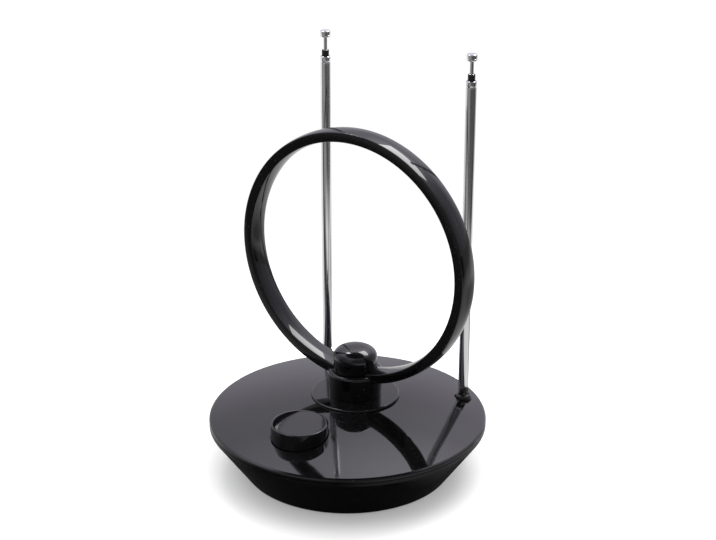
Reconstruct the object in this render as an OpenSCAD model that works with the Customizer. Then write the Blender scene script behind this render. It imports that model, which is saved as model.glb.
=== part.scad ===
// Indoor television antenna: a weighted round base with a spherical top, a swivelling
// loop on a post, a gain knob and two folding telescopic rods.
// Millimetres. The origin is on the base's axis at floor level, +Z is up and -Y is the front.

/* [Base] */
// Diameter at the rim, the widest part
base_d = 170; // [150:1:200]
// Diameter of the tray where its sloping wall starts
foot_d = 128.6; // [110:0.2:140]
// Height of the top edge of the rim
rim_z = 35.6; // [32:0.2:42]
// Height of the dome above the rim
dome_rise = 9.9; // [7:0.1:14]
// Height of the upright lip, from the slope to the rim's top edge
lip_h = 4.9; // [4:0.1:6]
// Height of the cover's share of the lip
skirt_h = 2.6; // [2:0.1:3]
// Thickness of the top cover
cover_t = 2.4; // [2:0.1:3]
// Thickness of the lip and the skirt
lip_t = 2.6; // [2.2:0.1:3.2]
// Horizontal thickness of the tray's sloping wall at its foot
tray_wall = 3.2; // [2.4:0.1:4]
// Thickness of the tray's floor
floor_t = 2.6; // [2:0.1:3.5]
// Rounding of the rim's top edge
rim_round = 1.2; // [0.6:0.1:1.8]
// Width of the shadow groove between cover and tray
groove_h = 0.5; // [0.3:0.05:0.8]
// Depth of the shadow groove
groove_d = 0.9; // [0.5:0.05:1.4]

/* [Feet and case screws] */
// Radius of a rubber foot
pad_r = 6; // [4:0.5:8]
// How far the feet hold the tray off the floor
pad_stand = 1.2; // [0.8:0.1:2]
// How deep a foot sits in the tray
pad_sink = 0.6; // [0.4:0.1:1]
// Distance of the feet's middles inside the tray's edge
pad_inset = 13.3; // [12:0.1:18]
// Distance of the case screws inside the tray's edge
screw_inset = 7.3; // [6:0.1:9]
// Radius of a case screw's shank
screw_r = 1.5; // [1.2:0.1:2]
// Length of a case screw's shank
screw_l = 20; // [16:1:24]
// Radius of a case screw's head
head_r = 3; // [2.5:0.1:3.4]
// Height of a case screw's head
head_h = 2.2; // [1.6:0.1:2.4]
// Radius of a screw post of the tray
post_tube_r = 4.6; // [4.2:0.1:5.2]
// Height where the cover's bosses meet the tray's posts
boss_split = 14; // [11:0.5:16]

/* [Weight and circuit board] */
// Distance of the steel weight's edge inside the tray's edge
ballast_inset = 14.3; // [13:0.1:24]
// Thickness of the steel weight
ballast_t = 4.5; // [3:0.5:6]
// Width of the circuit board
board_w = 72; // [68:1:80]
// Depth of the circuit board
board_d = 54; // [50:1:60]
// Thickness of the circuit board
board_t = 1.6; // [1:0.1:2]
// Height of the board's underside above the floor
board_z = 16; // [14:0.5:18]
// Distance of the board's fixing holes from its edges
board_inset = 6; // [5:0.5:8]
// Radius of a standoff
standoff_r = 3; // [2.6:0.1:3.6]
// Height of the shield can
can_h = 7; // [5:0.5:9]
// Length of the shank of a small screw
small_screw_l = 7; // [6:0.5:8]
// Radius of the ring core on the board
core_r = 5; // [4:0.5:6]
// Height of the ring core
core_h = 4; // [3:0.5:5]
// Radius of the largest can on the board
tank_r = 3.5; // [3:0.1:4]
// Height of the tallest can on the board
tank_h = 8; // [6:0.5:9]
// Width of the amplifier chip
chip_w = 9; // [7:0.5:11]
// Thickness of the amplifier chip
chip_h = 2; // [1.5:0.1:3]

/* [Sockets at the rear] */
// Distance of each socket from the middle
socket_x = 14; // [11:0.5:18]
// Height of the sockets' axes
socket_z = 16; // [13:0.5:18]
// Distance of the flat socket faces inside the rim
socket_inset = 11.6; // [11.5:0.1:13]
// Radius of the round well of each socket
socket_boss_r = 8; // [7.8:0.1:9]
// Thickness of the sleeve round each well
socket_wall = 1.8; // [1.2:0.1:2.4]
// Radius of the coaxial socket's threaded barrel
coax_r = 4.76; // [4.5:0.01:5]
// Length of the barrel in front of its nut
coax_free = 9.3; // [8:0.1:11]
// Thickness of the barrel's nut
coax_nut_t = 2.2; // [1.8:0.1:3]
// Width of the groove that parts the barrel's free thread from the stretch under the nut
coax_groove = 0.5; // [0.3:0.1:0.8]
// Radius of the power jack's nose
jack_r = 4; // [3.6:0.1:4.4]
// Radius of the power jack's hole
jack_hole_r = 2.8; // [2.6:0.05:3]
// Depth of the power jack's hole
jack_depth = 9.5; // [8:0.5:10]
// Radius of the pin in the power jack
jack_pin_r = 1.05; // [0.9:0.05:1.3]

/* [Loop] */
// Outer radius of the loop
loop_r = 79.1; // [72:0.1:84]
// Width of the loop's face, from its outer to its inner edge
loop_face = 7.4; // [6.6:0.1:9]
// Depth of the loop from front to rear
loop_depth = 13.8; // [11:0.1:16]
// Height of the loop's lowest point above the dome's top
loop_foot = 10.7; // [10.4:0.1:13]
// Wall of the loop's two shells
loop_wall = 1.5; // [1:0.1:2]
// Rounding of the loop's edges
loop_round = 1.6; // [0.6:0.1:2]
// Thickness of the copper strip inside the loop
strip_t = 0.6; // [0.4:0.1:1]
// Radius of a feed wire
wire_r = 0.6; // [0.4:0.1:0.9]

/* [Post and turntable] */
// How far the post stands behind the base's axis
post_y = 8.5; // [4:0.5:12]
// Radius of the turntable
plate_r = 27; // [22:0.5:30]
// Height of the turntable's top above the dome's top
plate_top = 0.7; // [0.5:0.1:2.5]
// Rounding of the turntable's edge
plate_round = 0.8; // [0.4:0.1:1.2]
// Radius of the post at its shoulder
post_r = 17; // [15:0.5:19]
// Radius of the post at its foot
post_foot_r = 16; // [14:0.5:17]
// Height of the post's shoulder above the loop's lowest point
shoulder_h = 6.1; // [5:0.1:7]
// Rounding of the post's shoulder
shoulder_round = 1.8; // [1:0.1:2.5]
// Radius of the cap that clamps the loop
cap_r = 13.5; // [12:0.1:14.5]
// Height of the cap's upper edge above the post's shoulder
cap_h = 11; // [9:0.1:13]
// Radius of the cap's gently domed top
cap_dome_r = 30; // [26:1:60]
// Rounding between the cap's side and its top
cap_round = 2.2; // [1:0.1:3]
// Radius of the cap's two pegs
peg_r = 1.6; // [1.2:0.1:1.8]
// Length of the cap's pegs
peg_l = 6; // [4:0.5:8]
// Radius of the turntable's hub
hub_r = 9; // [8:0.1:10]
// Radius of the hole through the hub
hub_hole_r = 5; // [4:0.1:5.4]
// Radius of the wire hole through the post
wire_hole_r = 3; // [2.4:0.1:3.4]
// Length of the bearing for the hub, below the turntable's seat
hub_bearing = 9.7; // [8:0.1:11]
// Thickness of the hub's retaining washer
hub_washer_t = 1.2; // [1:0.1:2]

/* [Gain knob] */
// Distance of the knob's axis inside the rim
knob_inset = 34.5; // [32:0.5:40]
// Radius of the knob
knob_r = 17; // [14:0.5:18]
// Height of the knob's top above the dome's top
knob_top = 4.4; // [2:0.1:6]
// Thickness of the knob's wall and top
knob_wall = 1.8; // [1.4:0.1:2.2]
// Rounding of the knob's upper edge
knob_round = 0.9; // [0.5:0.1:1.4]
// Radius of the control's shaft
shaft_r = 3; // [2.8:0.1:3.2]
// Radius of the control's threaded bush
bush_r = 3.5; // [3.4:0.1:3.8]
// Radius of the control's body
pot_r = 8; // [6:0.5:10]
// Height of the control's body
pot_h = 7; // [5:0.5:8]
// Thickness of the bush's nut
pot_nut_t = 2; // [1.6:0.1:2.4]

/* [Rods] */
// Distance of each rod inside the rim
rod_inset = 11.5; // [11:0.1:16]
// Direction of each rod from the base's axis, in degrees from sideways to the rear
rod_dir = 45.7; // [38:0.1:52]
// Direction in which a rod folds outward at rest, in degrees from sideways to the rear
fold_dir = 45; // [30:1:60]
// Radius of the swivelling foot
turret_r = 4.9; // [4.8:0.1:5.6]
// Height of the foot's low dome
turret_h = 3.5; // [2.6:0.1:3.8]
// Height of the fork above the hinge
fork_h = 3.2; // [3:0.1:3.6]
// Radius of the foot's stem
stem_r = 4; // [3.6:0.1:4.4]
// Length of the stem's bearing below the foot's seat
bearing_l = 6; // [5:0.1:7]
// Height of the fold hinge above the foot's seat
hinge_h = 4.8; // [4.6:0.1:5.4]
// Radius of the hinge pin
pin_r = 0.9; // [0.7:0.05:1.1]
// Half the width of the flat tongue in the hinge
tongue_r = 2.9; // [2.5:0.1:3]
// Thickness of the flat tongue
tongue_t = 3; // [2.4:0.1:3.4]
// Distance from the hinge to the lower end of the first tube
tube_start = 5.5; // [5.4:0.1:7]
// Height of the top of the first tube above the dome's top
tube_l = 196; // [170:0.5:215]
// Outer radius of the first tube
tube_r = 3.2; // [3:0.05:3.4]
// Wall of the first tube
tube_wall = 0.45; // [0.35:0.05:0.5]
// Outer radius of the second tube
tube2_r = 2.6; // [2.5:0.05:2.65]
// Wall of the second tube
tube2_wall = 0.4; // [0.3:0.05:0.45]
// Outer radius of the third tube
tube3_r = 1.65; // [1.5:0.05:1.7]
// Wall of the third tube
tube3_wall = 0.35; // [0.25:0.05:0.35]
// Radius of the innermost rod
tip_rod_r = 1.2; // [1:0.05:1.25]
// Height of the black collar above the first tube
collar_h = 4; // [3:0.1:6]
// Radius of the black collar
collar_r = 2.2; // [2.1:0.05:2.4]
// Length of the bare innermost rod below its tip
tip_bare = 7.9; // [5:0.1:12]
// Height of the tip
tip_h = 4; // [3:0.1:6]
// Radius of the tip
tip_r = 3.2; // [2.6:0.05:3.6]

/* [Clearances] */
// Running clearance of shafts and pins, radial
run_gap = 0.05; // [0.03:0.01:0.09]
// Gap between a fixed piece and the hole it sits in, radial
fit_gap = 0.03; // [0.02:0.01:0.05]
// Gap between pieces that turn past each other
move_gap = 0.3; // [0.2:0.05:0.4]
// Play of each telescopic section in the next, radial
slide_gap = 0.1; // [0.05:0.01:0.14]

/* [Hidden] */
$fn = 96;
eps = 0.01;
base_r = base_d / 2;
foot_r = foot_d / 2;
tray_z = pad_stand;
top_z = rim_z + dome_rise;
pad_ring = foot_r - pad_inset;
screw_ring = foot_r - screw_inset;
ballast_r = foot_r - ballast_inset;
socket_face = base_r - socket_inset;
knob_y = base_r - knob_inset;
rod_ring = base_r - rod_inset;
rod_x = rod_ring * cos(rod_dir);
rod_y = rod_ring * sin(rod_dir);
lip_z = rim_z - lip_h;
seam_z = rim_z - skirt_h;
floor_z = tray_z + floor_t;

// The dome is part of a sphere through the rim's edge
dome_r = (base_r * base_r + dome_rise * dome_rise) / (2 * dome_rise);
dome_centre = rim_z + dome_rise - dome_r;
function dome_z(d) = dome_centre + sqrt(dome_r * dome_r - d * d);

// Flat seats sunk in the dome, each level with the dome at the seat's outer edge
plate_seat_r = plate_r + move_gap;
plate_seat = dome_z(post_y + plate_seat_r);
well_r = knob_r + 2 * move_gap;
well_z = dome_z(knob_y + well_r);
turret_seat_r = turret_r + 2 * move_gap;
turret_seat = dome_z(rod_ring + turret_seat_r);

// Heights of the post, the loop, the cap and the knob
plate_z = top_z + plate_top;
loop_z = top_z + loop_foot + loop_r;
shoulder_z = top_z + loop_foot + shoulder_h;
knob_z = top_z + knob_top;

// The cap's edge is rounded into its domed top
cap_centre = shoulder_z + cap_h - sqrt(cap_dome_r * cap_dome_r - cap_r * cap_r);
cap_top = cap_centre + cap_dome_r;
cap_tilt = asin((cap_r - cap_round) / (cap_dome_r - cap_round));
cap_round_z = cap_centre + (cap_dome_r - cap_round) * cos(cap_tilt);

// Loop section
loop_in = loop_r - loop_face;
strip_r = (loop_r + loop_in) / 2;
strip_reach = strip_r + strip_t / 2;
// The feed wires stand just inside the opening in the loop, under the strip's two ends
wire_open = wire_hole_r - 0.4;
wire_x = wire_open - wire_r - 0.1;
strip_gap = asin((wire_x - wire_r) / strip_reach);

// Rod heights
bearing_z = turret_seat - bearing_l;
hinge_z = turret_seat + hinge_h;
turret_z = hinge_z + fork_h;
tube_top = top_z + tube_l;
fork_r = tube_r;
plug_l = 8;
section_step = 1.5;
tube_z = hinge_z + tube_start;
collar_z = tube_top + collar_h;
tip_z = collar_z + tip_bare;
tube2_z = tube_z + plug_l + section_step;
tube3_z = tube2_z + section_step;
tip_rod_z = tube3_z + section_step;
stem_z = bearing_z - move_gap;
hub_z = plate_seat - hub_bearing - move_gap;
knob_foot_z = well_z + move_gap;
pot_z = well_z - cover_t;

// Small fixings
washer_t = 0.8;
small_screw_r = 1.2;
small_head_r = 2.2;
small_head_h = 1.6;
coax_flange_r = 6.4;
coax_flange_t = 2;
boss_front_t = 6;
boss_inner = socket_face - 14;
jack_body_r = 5.5;

SIDES = ["left", "right"];

plastic_black = [0.05, 0.05, 0.055];
chrome_grey = [0.78, 0.78, 0.8];
steel_grey = [0.6, 0.6, 0.62];
brass_gold = [0.75, 0.6, 0.3];

// Points of an arc about (cx, cy), from angle a0 to a1 in n steps
function arc(cx, cy, r, a0, a1, n = 5) =
    [for (i = [0:n]) [cx + r * cos(a0 + (a1 - a0) * i / n), cy + r * sin(a0 + (a1 - a0) * i / n)]];

// A ring with a rectangular section
module ring(r_out, r_in, z0, z1) {
    translate([0, 0, z0]) difference() {
        cylinder(r = r_out, h = z1 - z0);
        translate([0, 0, -1]) cylinder(r = r_in, h = z1 - z0 + 2);
    }
}

// A rod or disc between two heights
module bar(r, z0, z1) {
    translate([0, 0, z0]) cylinder(r = r, h = z1 - z0);
}

// Copies at the four case screws
module at_screws() {
    for (a = [20, 160, 200, 340]) rotate([0, 0, a]) translate([screw_ring, 0, 0]) children();
}

// Copies at the board's four fixing holes
module at_standoffs() {
    for (sx = [-1, 1], sy = [-1, 1])
        translate([sx * (board_w / 2 - board_inset), sy * (board_d / 2 - board_inset), 0]) children();
}

// Places a piece on the post's axis
module at_post() {
    translate([0, post_y, 0]) children();
}

// Places a piece on the knob's axis
module at_knob() {
    translate([0, -knob_y, 0]) children();
}

// Places a piece at a rod, with its local +X in the direction in which the rod folds
module at_rod(side) {
    dir = side > 0 ? fold_dir : 180 - fold_dir;
    translate([side * rod_x, rod_y, 0]) rotate([0, 0, dir]) children();
}

// Places a piece at a rear socket, with its local +Z pointing to the rear
module at_socket(side) {
    translate([side * socket_x, 0, socket_z]) rotate([-90, 0, 0]) children();
}

// Base

// The dome with its rounded rim, as one solid down to height z0
module dome_solid(z0) {
    intersection() {
        rotate_extrude() polygon([
            [0, z0], [base_r, z0], [base_r, rim_z - rim_round],
            [base_r - 0.3 * rim_round, rim_z - 0.35 * rim_round],
            [base_r - rim_round, rim_z + 0.15 * rim_round],
            [base_r - rim_round, rim_z + dome_rise], [0, rim_z + dome_rise]
        ]);
        translate([0, 0, dome_centre]) sphere(r = dome_r, $fn = 720);
    }
}

// The hollow under the dome
module dome_hollow(z0) {
    intersection() {
        bar(base_r - lip_t, z0, rim_z + dome_rise);
        translate([0, 0, dome_centre]) sphere(r = dome_r - cover_t, $fn = 720);
    }
}

module top_cover() {
    color(plastic_black) difference() {
        union() {
            difference() {
                dome_solid(seam_z);
                dome_hollow(seam_z - 1);
                ring(base_r + 1, base_r - groove_d, seam_z - 1, seam_z + groove_h);
            }
            // Tongue inside the tray's lip
            ring(base_r - lip_t - fit_gap, base_r - 2 * lip_t + 1, seam_z - 1.6, seam_z + 1);
            intersection() {
                dome_solid(boss_split);
                union() {
                    at_screws() bar(post_tube_r - 0.6, boss_split, rim_z + dome_rise);
                    at_post() bar(plate_seat_r + cover_t, plate_seat - cover_t, plate_seat + 1);
                    at_post() bar(hub_r + 4, plate_seat - hub_bearing, plate_seat);
                    at_knob() bar(well_r + cover_t, well_z - cover_t, well_z + 5);
                    for (s = [-1, 1]) at_rod(s) bar(stem_r + 2.6, bearing_z, turret_seat);
                    for (s = [-1, 1])
                        at_rod(s) bar(turret_seat_r + 0.6, turret_seat - cover_t, turret_seat + 1);
                }
            }
        }
        at_screws() bar(screw_r + fit_gap, boss_split - 1, tray_z + 3 + screw_l + 1);
        at_post() bar(plate_seat_r, plate_seat, plate_seat + 20);
        at_post() bar(hub_r + run_gap, 0, plate_seat + 1);
        at_knob() bar(well_r, well_z, well_z + 20);
        at_knob() bar(bush_r + fit_gap, 0, well_z + 1);
        for (s = [-1, 1]) at_rod(s) bar(turret_seat_r, turret_seat, turret_seat + 20);
        for (s = [-1, 1]) at_rod(s) bar(stem_r + run_gap, 0, turret_seat + 1);
    }
}

module base_tray() {
    color(plastic_black) difference() {
        union() {
            rotate_extrude() polygon([
                [0, tray_z], [foot_r - 0.8, tray_z], [foot_r, tray_z + 0.5],
                [base_r - 0.3, lip_z - 0.2], [base_r, lip_z + 0.3], [base_r, seam_z],
                [base_r - lip_t, seam_z], [base_r - lip_t, lip_z + 0.5],
                [foot_r - tray_wall, floor_z], [0, floor_z]
            ]);
            at_screws() bar(post_tube_r, floor_z - 1, boss_split);
            at_standoffs() bar(standoff_r, floor_z - 1, board_z);
            for (s = [-1, 1]) at_socket(s) bar(socket_boss_r, boss_inner, socket_face);
            // Sleeves that close the sockets' wells against the inside
            intersection() {
                rotate_extrude() polygon([
                    [0, floor_z - 1], [foot_r, floor_z - 1], [foot_r, tray_z + 0.5],
                    [base_r - 0.3, lip_z - 0.2], [0, lip_z - 0.2]
                ]);
                for (s = [-1, 1]) at_socket(s)
                    bar(socket_boss_r + socket_wall, socket_face - boss_front_t, base_r);
            }
        }
        for (a = [45:90:315])
            rotate([0, 0, a]) translate([pad_ring, 0, 0]) bar(pad_r, tray_z - 1, tray_z + pad_sink);
        at_screws() bar(screw_r + 0.2, 0, boss_split + 1);
        at_screws() bar(head_r + 0.3, 0, tray_z + 3);
        at_standoffs() bar(small_screw_r + fit_gap, board_z - 1.1 * small_screw_l, board_z + 1);
        for (s = [-1, 1]) at_socket(s) {
            bar(socket_boss_r, socket_face, socket_face + 20);
            bar(coax_flange_r + 0.3, boss_inner - 1, socket_face - boss_front_t);
        }
        at_socket(-1) bar(coax_r + fit_gap, boss_inner, socket_face + 1);
        at_socket(1) bar(jack_r + fit_gap, boss_inner, socket_face + 1);
    }
}

module rubber_feet() {
    color([0.04, 0.04, 0.04]) for (a = [45:90:315])
        rotate([0, 0, a]) translate([pad_ring, 0, 0]) rotate_extrude() polygon([
            [0, 0], [pad_r - 0.8, 0], [pad_r - 0.3, 0.4],
            [pad_r - 0.1, tray_z + pad_sink], [0, tray_z + pad_sink]
        ]);
}

// A pan head screw with its head's face at z0 and its shank pointing up
module screw_up(shank_r, shank_l, r, h, z0) {
    difference() {
        union() {
            translate([0, 0, z0]) rotate_extrude() polygon([
                [0, -h], [r - 0.6, -h], [r, 0.6 - h], [r, 0], [0, 0]
            ]);
            bar(shank_r, z0 - 0.1, z0 + shank_l);
        }
        for (a = [0, 90])
            translate([0, 0, z0 - h]) rotate([0, 0, a]) cube([1.3 * r, 0.22 * r, h], center = true);
    }
}

module case_screws() {
    color(steel_grey) at_screws() screw_up(screw_r, screw_l, head_r, head_h, tray_z + 3);
}

module ballast_plate() {
    color(steel_grey) difference() {
        bar(ballast_r, floor_z, floor_z + ballast_t);
        at_standoffs() bar(standoff_r + 0.3, floor_z - 1, floor_z + ballast_t + 1);
    }
}

// Circuit

module circuit_board() {
    color([0.05, 0.3, 0.12]) difference() {
        translate([-board_w / 2, -board_d / 2, board_z]) cube([board_w, board_d, board_t]);
        at_standoffs() bar(small_screw_r + 0.15, board_z - 1, board_z + board_t + 1);
    }
}

module board_screws() {
    color(steel_grey) at_standoffs() translate([0, 0, board_z + board_t]) mirror([0, 0, 1])
        screw_up(small_screw_r, small_screw_l, small_head_r, small_head_h, 0);
}

module shield_can() {
    wall = 0.6;
    can_w = board_w / 2 - 4;
    can_d = board_d - 4 * board_inset;
    color(chrome_grey) translate([-can_w + 2, -can_d / 2, board_z + board_t]) difference() {
        cube([can_w, can_d, can_h]);
        translate([wall, wall, -1]) cube([can_w - 2 * wall, can_d - 2 * wall, can_h + 1 - wall]);
    }
}

module board_parts() {
    top = board_z + board_t;
    color([0.12, 0.12, 0.14]) {
        // Matching transformer core, amplifier chip, two capacitors and a coil
        translate([0.14 * board_w, 0, 0]) ring(core_r, core_r / 2, top, top + core_h);
        translate([0.25 * board_w, -0.1 * board_d, top]) cube([chip_w, 0.8 * chip_w, chip_h]);
        translate([0.14 * board_w, 0.26 * board_d, 0]) bar(0.9 * tank_r, top, top + tank_h);
        translate([0.3 * board_w, 0.26 * board_d, 0]) bar(0.75 * tank_r, top, top + 0.75 * tank_h);
        translate([0.12 * board_w, -0.3 * board_d, 0]) bar(tank_r, top, top + 0.6 * tank_h);
    }
}

// Rear sockets

module coax_socket() {
    rear = socket_face - boss_front_t - coax_flange_t;
    front = socket_face + coax_nut_t + coax_free;
    color(chrome_grey) at_socket(-1) difference() {
        union() {
            bar(coax_r, rear, front);
            bar(coax_flange_r, rear, socket_face - boss_front_t);
            bar(3.4, rear - 8, rear);
        }
        bar(3.6, front - 8, front + 1);
        ring(coax_r + 1, coax_r - 0.4, socket_face + coax_nut_t, socket_face + coax_nut_t + coax_groove);
    }
}

module coax_nut() {
    color(chrome_grey) at_socket(-1) difference() {
        translate([0, 0, socket_face]) cylinder(r = 7.2, h = coax_nut_t, $fn = 6);
        bar(coax_r + fit_gap, socket_face - 1, socket_face + coax_nut_t + 1);
    }
}

module coax_insulator() {
    front = socket_face + coax_nut_t + coax_free;
    color([0.9, 0.9, 0.88]) at_socket(-1) difference() {
        bar(3.6 - fit_gap, front - 8, front - 0.4);
        bar(0.5, front - 6, front + 1);
    }
}

module power_jack() {
    front = socket_face + 0.7;
    color(plastic_black) at_socket(1) difference() {
        union() {
            bar(jack_r, boss_inner, front);
            bar(jack_r + 1.2, socket_face, front);
            bar(jack_body_r, boss_inner - 2, socket_face - boss_front_t);
        }
        bar(jack_hole_r, front - jack_depth, front + 1);
    }
}

module power_pin() {
    front = socket_face + 0.7;
    color(chrome_grey) at_socket(1) rotate_extrude() polygon([
        [0, front - jack_depth], [jack_pin_r, front - jack_depth],
        [jack_pin_r, front - 1.4], [jack_pin_r - 0.5, front - 1], [0, front - 1]
    ]);
}

// Gain control

module gain_control() {
    color(steel_grey) at_knob() difference() {
        union() {
            bar(pot_r, pot_z - pot_h, pot_z);
            bar(bush_r, pot_z - eps, well_z + pot_nut_t + 1);
            translate([-pot_r * 0.6, pot_r * 0.7, pot_z - pot_h]) cube([pot_r * 1.2, 4, 1.6]);
        }
        bar(shaft_r + run_gap, pot_z - pot_h + 1.5, well_z + pot_nut_t + 2);
    }
}

module control_nut() {
    color(steel_grey) at_knob() difference() {
        translate([0, 0, well_z]) cylinder(r = 5.6, h = pot_nut_t, $fn = 6);
        bar(bush_r + fit_gap, well_z - 1, well_z + pot_nut_t + 1);
    }
}

module gain_shaft() {
    color(steel_grey) at_knob() bar(shaft_r, pot_z - pot_h + 1.5 + move_gap, knob_z - knob_wall);
}

module gain_knob() {
    hub_top = well_z + pot_nut_t + 1 + move_gap;
    color(plastic_black) at_knob() difference() {
        rotate_extrude() polygon(concat(
            [[0, knob_foot_z], [knob_r, knob_foot_z]],
            arc(knob_r - knob_round, knob_z - knob_round, knob_round, 0, 90),
            [[0, knob_z]]
        ));
        // Hollow rim and a central hub that grips the shaft
        ring(knob_r - knob_wall, shaft_r + 5, knob_foot_z - 1, knob_z - knob_wall);
        bar(6.4, knob_foot_z - 1, hub_top);
        bar(shaft_r + fit_gap, knob_foot_z - 1, knob_z - knob_wall);
    }
}

// Loop and its post

module turntable() {
    foot = plate_seat + move_gap;
    color(plastic_black) at_post() difference() {
        union() {
            rotate_extrude() polygon(concat(
                [[0, foot], [plate_r, foot]],
                arc(plate_r - plate_round, plate_z - plate_round, plate_round, 0, 90),
                [[0, plate_z]]
            ));
            bar(hub_r, hub_z, foot + eps);
        }
        bar(hub_hole_r, hub_z - 1, plate_z + 1);
        for (s = [-1, 1]) translate([s * (hub_r + hub_hole_r) / 2, 0, 0])
            bar(small_screw_r + fit_gap, hub_z - 1, hub_z + 1.1 * small_screw_l);
    }
}

// The space that the loop takes where it passes through the post
module loop_space(gap) {
    at_post() translate([0, loop_depth / 2 + gap, loop_z]) rotate([90, 0, 0])
        ring(loop_r + gap, loop_in - gap, 0, loop_depth + 2 * gap);
}

module loop_post() {
    color(plastic_black) difference() {
        at_post() union() {
            rotate_extrude() polygon(concat(
                [[0, plate_z], [post_foot_r, plate_z]],
                arc(post_r - shoulder_round, shoulder_z - shoulder_round, shoulder_round, 0, 90),
                [[0, shoulder_z]]
            ));
            bar(hub_hole_r - fit_gap, plate_seat, plate_z + 1);
        }
        loop_space(fit_gap);
        at_post() bar(wire_hole_r, plate_seat - 1, shoulder_z + 1);
        for (s = [-1, 1]) at_post() translate([0, s * (loop_depth / 2 + cap_r) / 2, 0])
            bar(peg_r + fit_gap, shoulder_z - peg_l - 0.2, shoulder_z + 1);
    }
}

module post_cap() {
    color(plastic_black) difference() {
        at_post() union() {
            intersection() {
                rotate_extrude() polygon(concat(
                    [[0, shoulder_z], [cap_r, shoulder_z]],
                    arc(cap_r - cap_round, cap_round_z, cap_round, 0, 90 - cap_tilt),
                    [[cap_dome_r * sin(cap_tilt), cap_top + 1], [0, cap_top + 1]]
                ));
                translate([0, 0, cap_centre]) sphere(r = cap_dome_r, $fn = 180);
            }
            for (s = [-1, 1]) translate([0, s * (loop_depth / 2 + cap_r) / 2, 0])
                bar(peg_r, shoulder_z - peg_l, shoulder_z + 1);
        }
        loop_space(fit_gap);
    }
}

// One half of the loop's hollow section, from the joint at zero depth to its face
module loop_shell() {
    half = loop_depth / 2;
    rotate_extrude() polygon(concat(
        [[loop_in, 0.25], [loop_in + 0.25, 0], [loop_in + loop_wall, 0],
         [loop_in + loop_wall, half - loop_wall], [loop_r - loop_wall, half - loop_wall],
         [loop_r - loop_wall, 0], [loop_r - 0.25, 0], [loop_r, 0.25]],
        arc(loop_r - loop_round, half - loop_round, loop_round, 0, 90, 3),
        arc(loop_in + loop_round, half - loop_round, loop_round, 90, 180, 3)
    ));
}

// The opening for the feed wires in the bottom of the loop
module wire_opening() {
    at_post() translate([-wire_open, -wire_open, loop_z - loop_r - 1])
        cube([2 * wire_open, 2 * wire_open, loop_wall + 2]);
}

module loop_front() {
    color(plastic_black) difference() {
        at_post() translate([0, 0, loop_z]) rotate([90, 0, 0]) loop_shell();
        wire_opening();
    }
}

module loop_rear() {
    color(plastic_black) difference() {
        at_post() translate([0, 0, loop_z]) rotate([-90, 0, 0]) loop_shell();
        wire_opening();
    }
}

module loop_strip() {
    depth = loop_depth - 2 * loop_wall - 2 * fit_gap;
    color([0.72, 0.45, 0.3]) at_post() translate([0, depth / 2, loop_z]) rotate([90, 0, 0])
        rotate([0, 0, strip_gap - 90]) rotate_extrude(angle = 360 - 2 * strip_gap)
            translate([strip_r - strip_t / 2, 0]) square([strip_t, depth]);
}

module feed_wires() {
    // Each wire touches the outer side of one end of the strip
    top = loop_z - strip_reach * cos(strip_gap);
    color(brass_gold) for (s = [-1, 1]) at_post() translate([s * wire_x, 0, 0])
        bar(wire_r, hub_z + 1, top);
}

module hub_washer() {
    color(steel_grey) at_post() difference() {
        ring(hub_r + 3.6, hub_hole_r, hub_z - hub_washer_t, hub_z);
        for (s = [-1, 1]) translate([s * (hub_r + hub_hole_r) / 2, 0, 0])
            bar(small_screw_r + 0.15, hub_z - hub_washer_t - 1, hub_z + 1);
    }
}

module hub_screws() {
    color(steel_grey) at_post() for (s = [-1, 1]) translate([s * (hub_r + hub_hole_r) / 2, 0, 0])
        screw_up(small_screw_r, small_screw_l, 0.86 * small_head_r, small_head_h, hub_z - hub_washer_t);
}

// Rods. In a rod's own frame +X is the way it folds and the hinge pin lies along Y

module rod_foot(side) {
    foot = turret_seat + move_gap;
    slot_t = tongue_t + move_gap;
    slot_r = tongue_r + move_gap;
    color(plastic_black) at_rod(side) difference() {
        union() {
            // A low dome and, above it, the fork as thick as the rod
            dome_w = turret_r - fork_r;
            dome_h = turret_h - 1;
            rotate_extrude() polygon(concat(
                [[0, foot], [turret_r, foot]],
                [for (a = [0:15:90]) [fork_r + dome_w * cos(a), foot + 1 + dome_h * sin(a)]],
                [[fork_r, turret_z - 0.5], [fork_r - 0.5, turret_z], [0, turret_z]]
            ));
            bar(stem_r, stem_z, foot + eps);
        }
        // The slot is open upwards and outwards, so that the tongue can fold
        translate([0, slot_t / 2, hinge_z]) rotate([90, 0, 0]) cylinder(r = slot_r, h = slot_t);
        translate([-slot_r, -slot_t / 2, hinge_z]) cube([slot_r + 10, slot_t, 20]);
        translate([0, -slot_t / 2, hinge_z - slot_r]) cube([10, slot_t, slot_r + 1]);
        translate([0, 10, hinge_z]) rotate([90, 0, 0]) cylinder(r = pin_r + fit_gap, h = 20);
        bar(screw_r + fit_gap, stem_z - 1, stem_z + 5);
    }
}

module foot_washer(side) {
    color(brass_gold) at_rod(side)
        ring(stem_r + 1.5, screw_r + 0.2, stem_z - washer_t, stem_z);
}

module foot_screw(side) {
    color(steel_grey) at_rod(side)
        screw_up(screw_r, 5, head_r - 0.3, 1.8, stem_z - washer_t);
}

module hinge_pin(side) {
    pin_l = 2 * (fork_r - 0.35);
    color(chrome_grey) at_rod(side) translate([0, pin_l / 2, hinge_z])
        rotate([90, 0, 0]) cylinder(r = pin_r, h = pin_l);
}

module rod_tongue(side) {
    color(chrome_grey) at_rod(side) difference() {
        union() {
            translate([0, tongue_t / 2, hinge_z]) rotate([90, 0, 0]) cylinder(r = tongue_r, h = tongue_t);
            translate([-tongue_r, -tongue_t / 2, hinge_z]) cube([2 * tongue_r, tongue_t, tube_start]);
            bar(tube_r - tube_wall - fit_gap, tube_z, tube_z + plug_l);
        }
        translate([0, 10, hinge_z]) rotate([90, 0, 0]) cylinder(r = pin_r + run_gap, h = 20);
    }
}

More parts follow.
